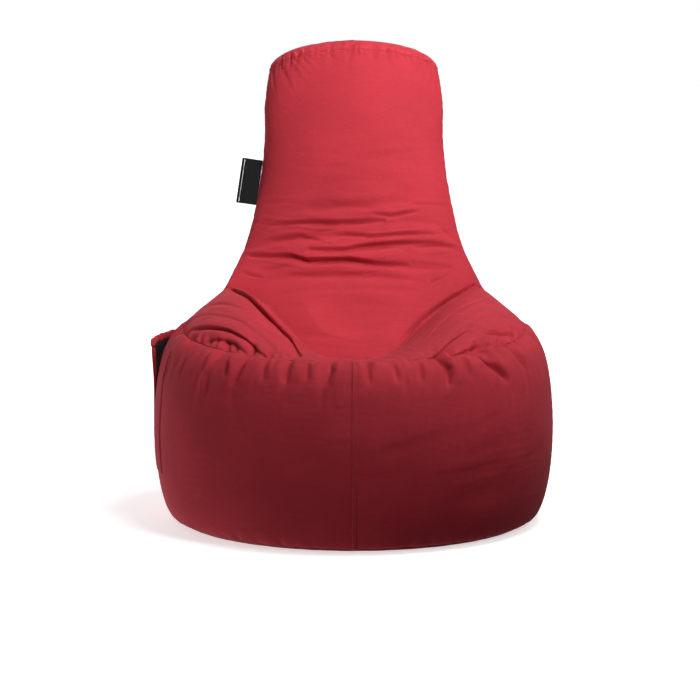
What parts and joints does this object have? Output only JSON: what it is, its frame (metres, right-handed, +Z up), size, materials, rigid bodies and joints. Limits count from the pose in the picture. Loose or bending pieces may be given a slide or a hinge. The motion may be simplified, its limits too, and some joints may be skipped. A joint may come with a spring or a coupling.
{
  "type": "bean bag chair",
  "caption": "Bean bag chair with a drum-shaped seat, a deep rounded hollow and a tall pillow back, a side pocket, a rear zip and a carry handle.",
  "frame": {"origin": "on the floor, under the middle of the drum", "axes": "+Z up; the sitter faces -Y; +X to the right of someone looking at the front"},
  "size_m": [0.8581, 0.8488, 1.0145],
  "materials": {
    "cover_red": "fine plain-weave red polyester, slightly glossy",
    "cover_dark": "coated red polyester, matt",
    "liner_cloth": "white spun polyester",
    "beads": "expanded polystyrene beads",
    "webbing": "ribbed red polyester webbing",
    "label_cloth": "black woven label, plain",
    "zip_tape": "red herringbone zip tape",
    "zip_nylon": "moulded red zip teeth",
    "zip_metal": "black enamelled zinc"
  },
  "bodies": {
    "cover": {"base_panel": "cover_dark", "wall_left_panel": "cover_red", "wall_right_panel": "cover_red", "seat_panel": "cover_red", "backrest_front_panel": "cover_red", "backrest_rear_panel": "cover_red", "head_cap": "cover_red", "front_seam_strip": "cover_red", "liner_left_half": "liner_cloth", "liner_right_half": "liner_cloth", "bead_fill_seat": "beads", "bead_fill_back": "beads", "side_pocket": "cover_red", "pocket_hem": "cover_red", "handle_tab_left": "webbing", "handle_tab_right": "webbing", "zip_tape_left": "zip_tape", "zip_tape_right": "zip_tape", "zip_teeth_left": "zip_nylon", "zip_teeth_right": "zip_nylon", "zip_top_stop": "zip_metal", "zip_bottom_stop": "zip_metal"},
    "zip_slider": {"zip_slider": "zip_metal"},
    "zip_puller": {"zip_puller": "zip_metal"},
    "carry_handle": {"carry_handle": "webbing"},
    "side_label": {"side_label": "label_cloth"}
  },
  "joints": [
    {"name": "zip_slide", "type": "slide", "parent": "cover", "child": "zip_slider", "axis": [0, 0, 1], "range_m": [-0.194, 0]},
    {"name": "puller_swing", "type": "hinge", "parent": "zip_slider", "child": "zip_puller", "pos_m": [0, 0.418, 0.304], "axis": [1, 0, 0], "range_deg": [0, 150]},
    {"name": "handle_swing", "type": "hinge", "parent": "cover", "child": "carry_handle", "pos_m": [0, 0.3955, 0.928], "axis": [1, 0, 0], "range_deg": [0, 80]},
    {"name": "label_flap", "type": "hinge", "parent": "cover", "child": "side_label", "pos_m": [-0.22127, 0.25333, 0.655], "axis": [0.1411, 0.2074, 0.968], "range_deg": [-55, 55], "stiffness_Nm_per_rad": 0.02}
  ]
}
